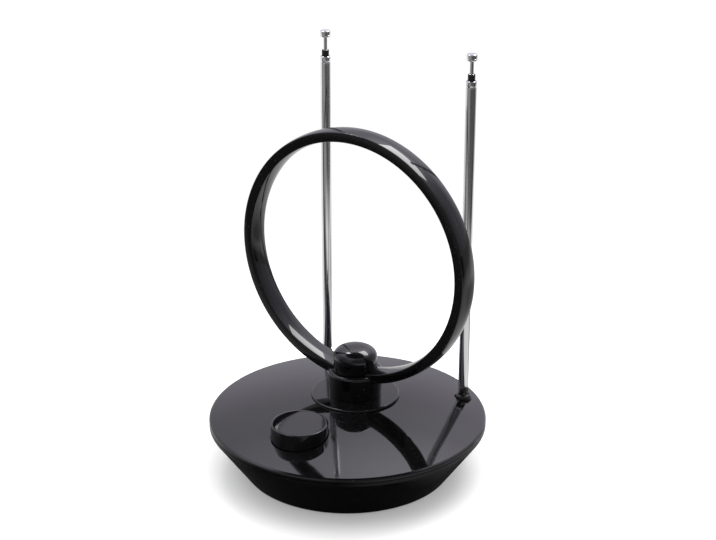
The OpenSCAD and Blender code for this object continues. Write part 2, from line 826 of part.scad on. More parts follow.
// A tube whose upper end is rolled in to a small rounding
module rolled_tube(r, wall, z0, z1) {
    rotate_extrude() polygon(concat(
        [[r - wall, z0], [r, z0]],
        arc(r - 0.6 * wall, z1 - 0.6 * wall, 0.6 * wall, 0, 90, 3),
        [[r - wall, z1]]
    ));
}

module rod_tube(side) {
    color(chrome_grey) at_rod(side) rolled_tube(tube_r, tube_wall, tube_z, tube_top);
}

module rod_second(side) {
    color(chrome_grey) at_rod(side) rolled_tube(tube2_r, tube2_wall, tube2_z, tube_top);
}

module rod_collar(side) {
    bore_r = tube3_r + run_gap;
    color(plastic_black) at_rod(side) rotate_extrude() polygon([
        [bore_r, tube_top - 4], [tube2_r - tube2_wall - fit_gap, tube_top - 4],
        [tube2_r - tube2_wall - fit_gap, tube_top], [collar_r, tube_top],
        [collar_r, collar_z - 0.5], [collar_r - 0.3, collar_z], [bore_r, collar_z]
    ]);
}

module rod_third(side) {
    color(chrome_grey) at_rod(side) rolled_tube(tube3_r, tube3_wall, tube3_z, collar_z);
}

module rod_inner(side) {
    color(chrome_grey) at_rod(side) bar(tip_rod_r, tip_rod_z, tip_z + tip_h - 1);
}

module rod_tip(side) {
    color(chrome_grey) at_rod(side) difference() {
        rotate_extrude() polygon(concat(
            [[0, tip_z], [tip_r - 0.3, tip_z], [tip_r, tip_z + 0.3]],
            arc(tip_r - 0.6, tip_z + tip_h - 0.6, 0.6, 0, 90, 3),
            [[0, tip_z + tip_h]]
        ));
        bar(tip_rod_r + fit_gap, tip_z - 1, tip_z + tip_h - 1);
    }
}

top_cover();
base_tray();
rubber_feet();
case_screws();
ballast_plate();
circuit_board();
board_screws();
shield_can();
board_parts();
coax_socket();
coax_nut();
coax_insulator();
power_jack();
power_pin();
gain_control();
control_nut();
gain_shaft();
gain_knob();
turntable();
loop_post();
post_cap();
loop_front();
loop_rear();
loop_strip();
feed_wires();
hub_washer();
hub_screws();

// The rods' pieces, once for each side
for (i = [0, 1]) {
    side = 2 * i - 1;
    name = SIDES[i];
    rod_foot(side);
    foot_washer(side);
    foot_screw(side);
    hinge_pin(side);
    rod_tongue(side);
    rod_tube(side);
    rod_second(side);
    rod_collar(side);
    rod_third(side);
    rod_inner(side);
    rod_tip(side);
}
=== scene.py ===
from math import atan, cos, degrees, pi, radians, sin, sqrt

import bpy
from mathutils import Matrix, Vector


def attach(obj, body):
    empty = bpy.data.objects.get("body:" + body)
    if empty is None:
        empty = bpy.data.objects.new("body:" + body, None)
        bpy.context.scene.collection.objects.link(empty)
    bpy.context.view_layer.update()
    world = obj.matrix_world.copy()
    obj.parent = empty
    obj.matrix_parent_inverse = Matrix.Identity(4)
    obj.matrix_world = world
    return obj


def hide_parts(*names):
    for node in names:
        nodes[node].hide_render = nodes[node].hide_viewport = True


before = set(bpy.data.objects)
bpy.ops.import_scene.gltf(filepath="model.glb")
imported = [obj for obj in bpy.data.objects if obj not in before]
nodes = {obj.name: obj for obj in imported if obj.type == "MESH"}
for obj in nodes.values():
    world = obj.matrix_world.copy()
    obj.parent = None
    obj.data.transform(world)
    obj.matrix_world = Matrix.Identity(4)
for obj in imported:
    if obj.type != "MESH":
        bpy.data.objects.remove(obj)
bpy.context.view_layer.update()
ops = bpy.ops

# The camera, the lamps and the stage are in metres. The pieces are in millimetres, times MM.
MM = 0.001
SIDES = ("left", "right")
UPRIGHT, FRONT_TO_BACK = (0, 0, 1), (0, 1, 0)


# ---------------------------------------------------------------- camera

VIEWPOINT = (0.5072, -0.7475, 0.4937)
LOOKED_AT = (0.00533, 0.00356, 0.1299)
SENSOR_WIDTH = 36
# In the photograph's pixels
PHOTO_WIDTH, FOCAL_LENGTH = 716, 1639.18


def facing(place, target):
    """The turn of a camera or lamp at a place that looks at its target."""
    return (Vector(target) - Vector(place)).to_track_quat("-Z", "Y").to_euler()


def set_camera():
    """The photograph's viewpoint: a little over 20 degrees down, from the front right."""
    ops.object.camera_add(location=VIEWPOINT, rotation=facing(VIEWPOINT, LOOKED_AT))
    camera = bpy.context.object
    camera.data.sensor_width = SENSOR_WIDTH
    camera.data.lens = SENSOR_WIDTH * FOCAL_LENGTH / PHOTO_WIDTH
    camera.data.clip_start = 0.01
    camera.data.dof.use_dof = False
    bpy.context.scene.camera = camera


# ---------------------------------------------------------------- shader sums

class Signal:
    """A value inside a material that ordinary sums work on."""

    def __init__(self, finish, socket):
        self.finish = finish
        self.socket = socket

    def maths(self, operation, *values):
        return self.finish.put("ShaderNodeMath", {"operation": operation}, *values)

    def __add__(self, other):
        return self.maths("ADD", self, other)

    def __sub__(self, other):
        return self.maths("SUBTRACT", self, other)

    def __rsub__(self, other):
        return self.maths("SUBTRACT", other, self)

    def __mul__(self, other):
        return self.maths("MULTIPLY", self, other)

    __radd__ = __add__
    __rmul__ = __mul__

    def between(self, low, high):
        """0 below low, 1 above high, and even in between."""
        return self.finish.put("ShaderNodeMapRange", {"clamp": True}, self, low, high, 0.0, 1.0)

    def at_least(self, least):
        """The same share, drawn together so that it runs from least to 1."""
        return self * (1 - least) + least


class Finish:
    """One material or world, built from Signals."""

    def __init__(self, owner):
        owner.use_nodes = True
        self.owner = owner
        self.tree = owner.node_tree
        self.tree.nodes.clear()

    def put(self, kind, settings, *values, out=0, **named):
        """Adds a node: its settings first, then the values or links of its sockets."""
        node = self.tree.nodes.new(kind)
        for key, value in settings.items():
            if key == "stops":
                ramp = node.color_ramp.elements
                while len(ramp) < len(value):
                    ramp.new(0.5)
                for stop, (place, colour) in zip(ramp, value):
                    stop.position, stop.color = place, (*colour, 1)
            else:
                setattr(node, key, value)
        for key, value in [*enumerate(values), *named.items()]:
            if isinstance(key, str):
                key = key.replace("_", " ")
            self.fill(node.inputs[key], value)
        return Signal(self, node.outputs[out]) if len(node.outputs) else None

    def fill(self, socket, value):
        if isinstance(value, Signal):
            self.tree.links.new(value.socket, socket)
        elif value is not None:
            socket.default_value = value

    def place(self, scale=(1, 1, 1), turn=(0, 0, 0)):
        """The point on the piece, in its own metres, for a pattern to read."""
        point = self.put("ShaderNodeTexCoord", {}, out="Object")
        return self.put("ShaderNodeMapping", {}, point, Rotation=turn, Scale=scale)

    def noise(self, where, scale, detail, roughness=0.5):
        return self.put("ShaderNodeTexNoise", {}, Vector=where, Scale=scale, Detail=detail,
                        Roughness=roughness)

    def blend(self, share, *colours):
        """A colour between two colours."""
        first, second = (c if isinstance(c, Signal) else (*c, 1) for c in colours)
        return self.put("ShaderNodeMix", {"data_type": "RGBA"}, share, None, None, None, None,
                        None, first, second, out=2)

    def bump(self, height, strength, distance):
        return self.put("ShaderNodeBump", {}, Height=height, Strength=strength,
                        Distance=distance)

    def along(self, point, direction):
        """How far a point lies along a direction."""
        return self.put("ShaderNodeVectorMath", {"operation": "DOT_PRODUCT"}, point, direction,
                        out="Value")

    def part_of(self, point, axis):
        """One of a point's three coordinates."""
        return self.put("ShaderNodeSeparateXYZ", {}, point, out=axis)

    def surface(self, **named):
        shader = self.put("ShaderNodeBsdfPrincipled", {}, **named)
        self.put("ShaderNodeOutputMaterial", {}, Surface=shader)
        return self.owner


def finish(name):
    return Finish(bpy.data.materials.new(name))


def dulled(colour, share):
    return tuple(c * share for c in colour)


# ---------------------------------------------------------------- finishes

DUST = (0.09, 0.09, 0.095)
NICKEL = (0.74, 0.72, 0.66)
RUBBER, RUBBER_WORN = (0.018, 0.018, 0.018), (0.04, 0.04, 0.038)
LACQUER, LACQUER_ON_COPPER = (0.02, 0.16, 0.05), (0.05, 0.26, 0.09)
# Metres from one turn of the coaxial socket's thread to the next
THREAD_PITCH = 0.0008


def polished_plastic(name, colour, shine, peel=0.02, specular=0.5):
    """Mirror-polished moulding: a faint orange peel, a few hair scratches and a little dust."""
    f = finish(name)
    haze = f.noise(f.place(), scale=22.0, detail=3.0)
    dust = f.noise(f.place(), scale=900.0, detail=2.0).between(0.66, 0.8)
    hairs = f.noise(f.place(scale=(40, 900, 40), turn=(0.2, 0.3, 0.9)), scale=1.0, detail=2.0)
    hairs = hairs.between(0.68, 0.72)
    tone = f.blend(dust * 0.35, colour, DUST)
    rough = shine + haze * 0.03 + hairs * 0.05 + dust * 0.12
    skin = f.bump(f.noise(f.place(), scale=160.0, detail=1.0), peel, distance=0.0004)
    return f.surface(Base_Color=tone, Roughness=rough, Normal=skin, IOR=1.5,
                     Specular_IOR_Level=specular)


def satin_plastic(name, colour, rough):
    """Spark-eroded moulding: an even fine grain."""
    f = finish(name)
    grains = f.noise(f.place(), scale=2600.0, detail=3.0, roughness=0.6)
    patch = f.noise(f.place(), scale=40.0, detail=2.0)
    return f.surface(Base_Color=f.blend(patch, dulled(colour, 0.7), colour),
                     Roughness=rough + (grains - 0.5) * 0.25,
                     Normal=f.bump(grains, strength=0.12, distance=0.0003), IOR=1.48)


def plated(name, colour, rough, lines=(900, 900, 30)):
    """Bright plate over drawn metal: fine lines one way and a slight cloudiness."""
    f = finish(name)
    drawn = f.noise(f.place(scale=lines), scale=1.0, detail=3.0)
    cloud = f.noise(f.place(), scale=30.0, detail=2.0)
    tone = f.blend(cloud.between(0.35, 0.7), colour, dulled(colour, 0.82))
    return f.surface(Base_Color=tone, Metallic=1.0,
                     Roughness=rough + drawn * 0.06 + cloud * 0.04,
                     Normal=f.bump(drawn, strength=0.02, distance=0.0002))


def turned_metal(name, colour, rough=0.28):
    """Zinc or nickel on turned steel, with fine rings about the base's axis."""
    f = finish(name)
    rings = f.put("ShaderNodeTexWave", {"wave_type": "RINGS", "rings_direction": "Z"},
                  f.place(), Scale=900.0, Distortion=1.5, Detail=2.0)
    cloud = f.noise(f.place(), scale=120.0, detail=3.0)
    tone = f.blend(cloud.between(0.3, 0.7), colour, dulled(colour, 0.7))
    return f.surface(Base_Color=tone, Metallic=1.0, Roughness=rough + cloud * 0.15,
                     Normal=f.bump(rings, strength=0.08, distance=0.0002))


def threaded_metal(name, colour, pitch):
    """Nickel on a cut thread, whose turns follow one another from front to back."""
    f = finish(name)
    # A wave of scale 1 repeats every 2 * pi / 20 metres
    turns = f.put("ShaderNodeTexWave", {"bands_direction": "Y"}, f.place(),
                  Scale=2 * pi / 20 / pitch)
    cloud = f.noise(f.place(), scale=140.0, detail=3.0)
    # Painted shade: the thread's grooves are painted darker, down to 0.45 of the nickel's colour,
    # where the turns run low
    tone = f.blend(turns.between(0.1, 0.6), dulled(colour, 0.45), colour)
    return f.surface(Base_Color=tone, Metallic=1.0, Roughness=0.2 + cloud * 0.12,
                     Normal=f.bump(turns, strength=0.6, distance=0.0004))


def rubber_finish(name):
    """Moulded rubber: a coarse grain, greyer where it is worn."""
    f = finish(name)
    grains = f.noise(f.place(), scale=1800.0, detail=4.0, roughness=0.7)
    wear = f.noise(f.place(), scale=90.0, detail=3.0).between(0.45, 0.7)
    return f.surface(Base_Color=f.blend(wear, RUBBER, RUBBER_WORN),
                     Roughness=0.75 + grains * 0.2,
                     Normal=f.bump(grains, strength=0.3, distance=0.0004))


def board_finish(name):
    """Green lacquer over glass weave, lighter over the copper lands below it."""
    f = finish(name)
    warp = f.put("ShaderNodeTexWave", {}, f.place(), Scale=700.0)
    weft = f.put("ShaderNodeTexWave", {"bands_direction": "Y"}, f.place(), Scale=700.0)
    weave = warp * weft
    lands = f.noise(f.place(scale=(1, 1, 0)), scale=110.0, detail=0.0).between(0.5, 0.52)
    return f.surface(Base_Color=f.blend(lands, LACQUER, LACQUER_ON_COPPER),
                     Roughness=0.3 + weave * 0.12,
                     Normal=f.bump(weave + lands, strength=0.15, distance=0.0002))


def make_finishes():
    return {
        "gloss_black": polished_plastic("gloss_black", (0.0015, 0.0015, 0.0017), 0.035),
        "tray_black": polished_plastic("tray_black", (0.0015, 0.0015, 0.0016), 0.1, peel=0.05,
                                       specular=0.28),
        "rod_black": satin_plastic("rod_black", (0.003, 0.003, 0.003), 0.42),
        "rod_chrome": plated("rod_chrome", (0.86, 0.86, 0.87), 0.05),
        "rubber": rubber_finish("rubber"),
        "zinc_steel": turned_metal("zinc_steel", (0.62, 0.62, 0.64)),
        "tinned_steel": plated("tinned_steel", (0.7, 0.7, 0.7), 0.3, lines=(60, 900, 900)),
        "board_green": board_finish("board_green"),
        "part_black": satin_plastic("part_black", (0.03, 0.03, 0.033), 0.45),
        "nickel": turned_metal("nickel", NICKEL, 0.18),
        "nickel_thread": threaded_metal("nickel_thread", NICKEL, THREAD_PITCH),
        "white_plastic": satin_plastic("white_plastic", (0.75, 0.74, 0.7), 0.35),
        "copper": plated("copper", (0.83, 0.45, 0.3), 0.3),
        "brass": plated("brass", (0.8, 0.62, 0.3), 0.25),
    }


# ---------------------------------------------------------------- stage

# The bright wall's side of the object, as a direction over the floor
TO_THE_WALL = (-0.55, 0.83, 0)
# What gloss sees of the wall, by height: 0 is level, 0.84 its brightest and 0.9 its top
WALL = [(0.0, (0.62, 0.60, 0.67)), (0.22, (0.79, 0.76, 0.86)), (0.45, (0.82, 0.79, 0.90)),
        (0.60, (1.02, 0.99, 1.12)), (0.78, (1.75, 1.70, 1.90)), (0.84, (1.85, 1.80, 2.0)),
        (0.90, (0.12,) * 3), (1.0, (0.05,) * 3)]
BLACK, WHITE = (0.0, 0.0, 0.0), (1.0, 1.0, 1.0)
# The light on everything, and what is added for gloss and for the background in view
DAYLIGHT, MORE_IN_GLOSS, MORE_IN_VIEW = 0.78, 0.65, 0.24
# A point at the height of the post's cap
LAMP_TARGET = (0, 0, 0.077)


def studio_world():
    """Soft studio light: even for matt things, and a tall bright wall behind for gloss."""
    world = bpy.data.worlds.new("studio")
    bpy.context.scene.world = world
    w = Finish(world)
    point = w.put("ShaderNodeTexCoord", {}, out="Generated")
    wall = w.put("ShaderNodeValToRGB", {"stops": WALL}, w.part_of(point, "Z"))
    behind = w.along(point, TO_THE_WALL).between(-0.3, 0.25)
    across = w.part_of(point, "X")
    left_card = across.between(-0.42, -0.2).at_least(0.7)
    right_card = across.between(0.12, 0.4)
    share = behind.at_least(0.4) * left_card * (1 - right_card * 0.5)
    mirrored = w.blend(share, BLACK, wall)
    glossy = w.put("ShaderNodeLightPath", {}, out="Is Glossy Ray")
    seen = w.put("ShaderNodeLightPath", {}, out="Is Camera Ray")
    shader = w.put("ShaderNodeBackground", {}, w.blend(glossy, WHITE, mirrored),
                   glossy * MORE_IN_GLOSS + seen * MORE_IN_VIEW + DAYLIGHT)
    w.put("ShaderNodeOutputWorld", {}, Surface=shader)


def lay_floor():
    """A plain white floor. Gloss sees it bright behind and beside, and dark in front."""
    ops.mesh.primitive_plane_add(size=8, location=(0, 0, 0))
    floor = bpy.context.object
    floor.name = "floor"
    f = finish("white_floor")

    def distance_to(x, y):
        point = f.put("ShaderNodeTexCoord", {}, out="Object")
        return f.put("ShaderNodeVectorMath", {"operation": "DISTANCE"}, point, (x, y, 0),
                     out="Value")

    point = f.put("ShaderNodeTexCoord", {}, out="Object")
    away = f.along(point, TO_THE_WALL)
    across = f.part_of(point, "X")
    behind = away.between(-0.08, 0.06)
    far_front = 1 - away.between(-0.36, -0.22)
    far_right = across.between(0.26, 0.6)
    right_side = across.between(0.07, 0.14) * (1 - distance_to(0, 0).between(0.3, 0.6))
    # The glow that gloss sees is painted light on the floor: a painted shadow round the base, a
    # painted dark patch behind the right rod, and darker far to the right
    painted_base_shadow = distance_to(0, 0).between(0.085, 0.125).at_least(0.07)
    painted_rear_shade = distance_to(0.17, 0.25).between(0.06, 0.17).at_least(0.4)
    glow = behind * 0.85 + far_front * 0.2 + 0.08
    glow = glow * painted_base_shadow * painted_rear_shade * (1 - far_right * 0.68)
    glow = glow + right_side * (1 - behind) * 0.6

    # In view it is paper with the base's shadow, and runs out into plain white
    paper = f.put("ShaderNodeBsdfDiffuse", {}, (0.9, 0.9, 0.9, 1))
    white = f.put("ShaderNodeEmission", {}, Strength=1.02)
    seen = f.put("ShaderNodeMixShader", {},
                 distance_to(0, 0).between(0.14, 0.42).at_least(0.24), paper, white)
    mirrored = f.put("ShaderNodeEmission", {}, Strength=glow)
    glossy = f.put("ShaderNodeLightPath", {}, out="Is Glossy Ray")
    mixed = f.put("ShaderNodeMixShader", {}, glossy, seen, mirrored)
    f.put("ShaderNodeOutputMaterial", {}, Surface=mixed)
    floor.data.materials.append(f.owner)


def softbox(name, place, target, size, power, in_gloss=False):
    """A flat lamp, which gloss mirrors only where in_gloss is True."""
    ops.object.light_add(type="AREA", location=place, rotation=facing(place, target))
    lamp = bpy.context.object
    lamp.name = name
    lamp.data.shape = "RECTANGLE"
    lamp.data.size, lamp.data.size_y = size
    lamp.data.energy = power
    lamp.visible_glossy = in_gloss


# ---------------------------------------------------------------- sizes, in millimetres

RIM_R, RIM_Z, DOME_RISE = 85.0, 35.6, 9.9
TOP_Z = RIM_Z + DOME_RISE
DOME_R = (RIM_R ** 2 + DOME_RISE ** 2) / (2 * DOME_RISE)
# A fit that is pressed together, one that turns or slides, and the gap under what turns
FIT_GAP, RUN_GAP, LIFT = 0.03, 0.05, 0.3
# How far the edges of mouldings and turned pieces are broken
BREAK, CHAMFER = 0.2, 0.3


def dome_z(reach):
    """Height of the dome at a distance from the base's axis."""
    return TOP_Z - DOME_R + sqrt(DOME_R ** 2 - reach ** 2)


POST_Y = 8.5
POST_AXIS = (0, POST_Y, 0)
PLATE_R, PLATE_Z = 27.0, TOP_Z + 0.7
PLATE_SEAT = dome_z(POST_Y + PLATE_R + 0.3)
LOOP_R, LOOP_FACE, LOOP_DEPTH = 79.1, 7.4, 13.8
LOOP_WALL, LOOP_EDGE, LOOP_CROWN, PARTING = 1.5, 0.7, 0.85, 0.12
LOOP_Z = TOP_Z + 10.7 + LOOP_R
LOOP_CENTRE = (0, POST_Y, LOOP_Z)
SHOULDER_Z, SHOULDER_ROUND = TOP_Z + 16.8, 1.8
POST_R, POST_FOOT_R = 17.0, 16.0
HUB_HOLE_R, WIRE_HOLE_R, WIRE_OPEN = 5.0, 3.0, 2.6
CAP_R = 13.5
PEG_R, PEG_L = 1.6, 6.0
KNOB_Y, KNOB_R, KNOB_Z = -50.5, 17.0, TOP_Z + 4.4
WELL_Z = dome_z(-KNOB_Y + KNOB_R + 0.6)

ROD_RING, ROD_DIR, FOLD_DIR = 73.5, radians(45.7), 45.0
ROD_X, ROD_Y = ROD_RING * cos(ROD_DIR), ROD_RING * sin(ROD_DIR)
TURRET_R = 4.9
TURRET_SEAT = dome_z(ROD_RING + TURRET_R + 0.6)
HINGE_Z = TURRET_SEAT + 4.8
ROD_AXIS, ROD_HINGE = (-ROD_X, ROD_Y, 0), (-ROD_X, ROD_Y, HINGE_Z)
TUBE_Z, TUBE_TOP = HINGE_Z + 5.5, TOP_Z + 196
COLLAR_Z = TUBE_TOP + 4
TIP_Z = COLLAR_Z + 7.9
TUBE_R, TUBE_WALL = 3.2, 0.45
SECOND_R, SECOND_WALL = 2.6, 0.4
THIRD_R, THIRD_WALL = 1.65, 0.35
INNER_R = 1.2
PIN_R, FORK_R, TONGUE_R = 0.9, 3.2, 2.9
# How deep the tongue's plug sits in the tube, and each section's end above the last one's
PLUG_L, SECTION_STEP = 8.0, 1.5
# The rolled neck below a tube's end: depth below it, and share of the neck's depth
NECK = ((4.4, 0), (4.1, 0.3), (3.8, 0.85), (3.5, 1), (3.2, 0.85), (2.9, 0.3), (2.6, 0))

# How many sides a turned piece has
LOOP_SIDES, DISC_SIDES, POST_SIDES = 288, 192, 128
FOOT_SIDES, ROD_SIDES, HOLE_SIDES = 64, 48, 32
# Edges gentler than this many degrees are smooth
GENTLE, CAP_GENTLE = 40, 50


def arc(x, y, r, start, end, steps):
    """Points of an arc about (x, y), with its angles in degrees."""
    turns = [radians(start + (end - start) * i / steps) for i in range(steps + 1)]
    return [(x + r * cos(t), y + r * sin(t)) for t in turns]


# ---------------------------------------------------------------- shaping by hand

def select_only(piece):
    select_none()
    piece.select_set(True)
    bpy.context.view_layer.objects.active = piece


def select_none():
    ops.object.select_all(action="DESELECT")


def one_point(name):
    """A new piece that is a single point at the origin, open for shaping."""
    select_none()
    ops.mesh.primitive_plane_add(size=MM, location=(0, 0, 0))
    piece = bpy.context.object
    piece.name = piece.data.name = name
    ops.object.mode_set(mode="EDIT")
    ops.mesh.merge(type="CENTER")
    return piece


def draw(outline, centre, axis):
    """Extrudes the point along an outline of (reach, height), in millimetres."""
    axis = Vector(axis)
    out = Vector((1, 0, 0))
    points = [(Vector(centre) + out * r + axis * h) * MM for r, h in outline]
    ops.transform.translate(value=points[0])
    for here, there in zip(points, points[1:]):
        ops.mesh.extrude_region_move(TRANSFORM_OT_translate={"value": there - here})


def close_up(piece, angle=GENTLE):
    """Merges doubles, points all faces outwards and smooths the gentle edges."""
    ops.mesh.select_all(action="SELECT")
    ops.mesh.remove_doubles(threshold=0.000002)
    ops.mesh.normals_make_consistent(inside=False)
    ops.object.mode_set(mode="OBJECT")
    select_only(piece)
    ops.object.shade_smooth_by_angle(angle=radians(angle))
    return piece


def turned(name, outline, centre, sides, axis=UPRIGHT, angle=GENTLE):
    """Turns an outline of (radius, height) about an axis through centre."""
    piece = one_point(name)
    draw(outline, centre, axis)
    ops.mesh.select_all(action="SELECT")
    ops.mesh.spin(steps=sides, angle=2 * pi, center=Vector(centre) * MM, axis=axis)
    return close_up(piece, angle)


def rod_of(name, r, low, high, centre, axis=UPRIGHT):
    """A plain round rod, which cuts a hole."""
    return turned(name, [(0, low), (r, low), (r, high), (0, high)], centre, HOLE_SIDES, axis)


def block(name, low, high):
    """A plain block between two corners, which cuts an opening."""
    select_none()
    middle = [(a + b) / 2 * MM for a, b in zip(low, high)]
    ops.mesh.primitive_cube_add(size=1, location=(0, 0, 0))
    piece = bpy.context.object
    piece.name = piece.data.name = name
    ops.object.mode_set(mode="EDIT")
    ops.transform.resize(value=[(b - a) * MM for a, b in zip(low, high)])
    ops.transform.translate(value=middle)
    return close_up(piece)


def shift(piece, move=(0, 0, 0), turn=0, about=(0, 0, 0)):
    """Turns a piece about an upright axis and moves it, in its mesh."""
    select_only(piece)
    ops.object.mode_set(mode="EDIT")
    ops.mesh.select_all(action="SELECT")
    if turn:
        ops.transform.rotate(value=radians(turn), orient_axis="Z",
                             center_override=Vector(about) * MM)
    ops.transform.translate(value=Vector(move) * MM)
    ops.object.mode_set(mode="OBJECT")


def copy_of(piece, name):
    """A second piece with its own mesh."""
    second = piece.copy()
    second.data = piece.data.copy()
    second.name = second.data.name = name
    bpy.context.collection.objects.link(second)
    return second


def work(operation, piece, tools, angle):
    """Cuts the tools' shapes out of a piece or welds them to it, and takes the tools away."""
    for tool in tools:
        select_only(piece)
        step = piece.modifiers.new("step", "BOOLEAN")
        step.operation, step.solver, step.object = operation, "EXACT", tool
        ops.object.modifier_apply(modifier=step.name)
        bpy.data.objects.remove(tool)
    ops.object.shade_smooth_by_angle(angle=radians(angle))
    return piece


def cut(piece, *tools, angle=GENTLE):
    return work("DIFFERENCE", piece, tools, angle)


def weld(piece, *tools, angle=GENTLE):
    return work("UNION", piece, tools, angle)


def place(piece, body, slot, *nodes_replaced):
    """Puts the piece on the body that carries it, gives it its finish, and hides the nodes that
    it stands for.
    """
    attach(piece, body)
    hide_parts(*nodes_replaced)
    piece.data.materials.clear()
    piece.data.materials.append(finishes[slot])


# ---------------------------------------------------------------- loop and post

def loop_room():
    """The room that the loop takes in the post and the cap."""
    inner, outer = LOOP_R - LOOP_FACE - FIT_GAP, LOOP_R + FIT_GAP
    half = LOOP_DEPTH / 2 + FIT_GAP
    ring = [(inner, -half), (outer, -half), (outer, half), (inner, half), (inner, -half)]
    return turned("loop_room", ring, LOOP_CENTRE, LOOP_SIDES, FRONT_TO_BACK)


def wire_room():
    """The opening for the feed wires in the bottom of the loop."""
    low = LOOP_Z - LOOP_R - 1
    return block("wire_room", (-WIRE_OPEN, POST_Y - WIRE_OPEN, low),
                 (WIRE_OPEN, POST_Y + WIRE_OPEN, low + LOOP_WALL + 2))


def loop_half(name, way):
    """Half of the loop's hollow section: crowned outside and inside, with a flat face."""
    inner, half = LOOP_R - LOOP_FACE, LOOP_DEPTH / 2
    last = half - LOOP_EDGE
    drop = LOOP_CROWN * (last / half) ** 2
    tilt = degrees(atan(2 * LOOP_CROWN * last / half ** 2))
    depths = [PARTING, 1.0, 2.0, 3.0, 4.0, 5.0]
    outside = [(LOOP_R - LOOP_CROWN * (y / half) ** 2, y) for y in depths]
    outside += arc(LOOP_R - drop - LOOP_EDGE, last, LOOP_EDGE, tilt, 90, 7)
    inside = arc(inner + drop + LOOP_EDGE, last, LOOP_EDGE, 90, 180 - tilt, 7)
    inside += [(inner + LOOP_CROWN * (y / half) ** 2, y) for y in reversed(depths)]
    hollow = [(inner + PARTING, 0), (inner + LOOP_WALL, 0), (inner + LOOP_WALL, half - LOOP_WALL),
              (LOOP_R - LOOP_WALL, half - LOOP_WALL), (LOOP_R - LOOP_WALL, 0),
              (LOOP_R - PARTING, 0)]
    outline = outside + inside + hollow
    outline = [(r, way * y) for r, y in outline + outline[:1]]
    return cut(turned(name, outline, LOOP_CENTRE, LOOP_SIDES, FRONT_TO_BACK), wire_room())


def make_loop():
    place(loop_half("loop_front_half", -1), "loop", "gloss_black", "loop_front")
    place(loop_half("loop_rear_half", 1), "loop", "gloss_black", "loop_rear")


def peg_places():
    """Where the cap's two pegs stand, in front of the loop and behind it."""
    reach = (LOOP_DEPTH / 2 + CAP_R) / 2
    return [(0, POST_Y + side * reach, 0) for side in (-1, 1)]


def make_post():
    """The post with a softened shoulder, its hub spigot, its wire hole and its peg holes."""
    spigot, hole = HUB_HOLE_R - FIT_GAP, WIRE_HOLE_R
    outline = [(hole, PLATE_SEAT), (spigot - CHAMFER, PLATE_SEAT),
               (spigot, PLATE_SEAT + CHAMFER), (spigot, PLATE_Z),
               (POST_FOOT_R - BREAK, PLATE_Z), (POST_FOOT_R, PLATE_Z + BREAK)]
    outline += arc(POST_R - SHOULDER_ROUND, SHOULDER_Z - SHOULDER_ROUND, SHOULDER_ROUND,
                   0, 90, 10)
    outline += [(hole + CHAMFER, SHOULDER_Z), (hole, SHOULDER_Z - CHAMFER), (hole, PLATE_SEAT)]
    post = turned("post_moulding", outline, POST_AXIS, POST_SIDES)
    holes = [rod_of("peg_room", PEG_R + FIT_GAP, SHOULDER_Z - PEG_L - 0.2, SHOULDER_Z + 1, spot)
             for spot in peg_places()]
    place(cut(post, loop_room(), *holes), "loop", "gloss_black", "loop_post")


def make_cap():
    """The cap: an upright wall that runs over into a full, round top, on its two pegs."""
    foot, spring, rise, steps = SHOULDER_Z, SHOULDER_Z + 8.2, 7.0, 24
    # 1 would be a quarter of an ellipse, and less is fuller at its shoulder
    power = 2 / 2.3
    outline = [(0, foot), (CAP_R - BREAK, foot), (CAP_R, foot + BREAK)]
    for i in range(steps + 1):
        t = radians(90 * i / steps)
        outline.append((CAP_R * cos(t) ** power, spring + rise * sin(t) ** power))
    outline[-1] = (0, outline[-1][1])
    cap = turned("post_dome", outline, POST_AXIS, POST_SIDES, angle=CAP_GENTLE)
    peg = [(0, foot - PEG_L), (PEG_R - BREAK, foot - PEG_L), (PEG_R, foot - PEG_L + BREAK),
           (PEG_R, foot + 1), (0, foot + 1)]
    weld(cap, *[turned("cap_peg", peg, spot, HOLE_SIDES) for spot in peg_places()],
         angle=CAP_GENTLE)
    cut(cap, loop_room(), angle=CAP_GENTLE)
    place(cap, "loop", "gloss_black", "post_cap")


def make_turntable():
    """The disc round the post, with the hub that its two screws go up into."""
    foot, hub_r, hub_z, lead = PLATE_SEAT + LIFT, 9.0, PLATE_SEAT - 10.0, 0.4
    screw_ring, screw_r, screw_l, rim = 7, 1.2, 7.7, 0.8
    outline = [(HUB_HOLE_R, hub_z), (hub_r - lead, hub_z), (hub_r, hub_z + lead), (hub_r, foot),
               (PLATE_R - CHAMFER, foot), (PLATE_R, foot + CHAMFER)]
    outline += arc(PLATE_R - rim, PLATE_Z - rim, rim, 0, 90, 8)
    outline += [(HUB_HOLE_R, PLATE_Z), (HUB_HOLE_R, hub_z)]
    disc = turned("turntable_disc", outline, POST_AXIS, DISC_SIDES)
    holes = [rod_of("screw_room", screw_r + FIT_GAP, hub_z - 1, hub_z + screw_l,
                    (side * screw_ring, POST_Y, 0)) for side in (-1, 1)]
    place(cut(disc, *holes), "loop", "gloss_black", "turntable")


def make_knob():
    """The gain knob: a flat top with a softened edge, a hollow skirt and a hub."""
    foot, wall, edge = WELL_Z + LIFT, 1.8, 0.6
    bore, nut_room, hub_r = 3.0 + FIT_GAP, 6.4, 8
    ceiling, hollow, nut_top = KNOB_Z - wall, KNOB_Z - wall - 0.6, WELL_Z + 3.3
    outline = [(KNOB_R - CHAMFER, foot), (KNOB_R, foot + CHAMFER)]
    outline += arc(KNOB_R - edge, KNOB_Z - 0.68, edge, 0, 75, 7)
    outline += [(15.9, KNOB_Z - 0.02), (15.2, KNOB_Z), (0, KNOB_Z), (0, ceiling),
                (bore, ceiling), (bore, nut_top), (nut_room, nut_top), (nut_room, foot),
                (hub_r, foot), (hub_r, hollow), (KNOB_R - wall, hollow), (KNOB_R - wall, foot),
                (KNOB_R - CHAMFER, foot)]
    knob = turned("knob_crown", outline, (0, KNOB_Y, 0), POST_SIDES)
    place(knob, "knob", "gloss_black", "gain_knob")


# ---------------------------------------------------------------- rods

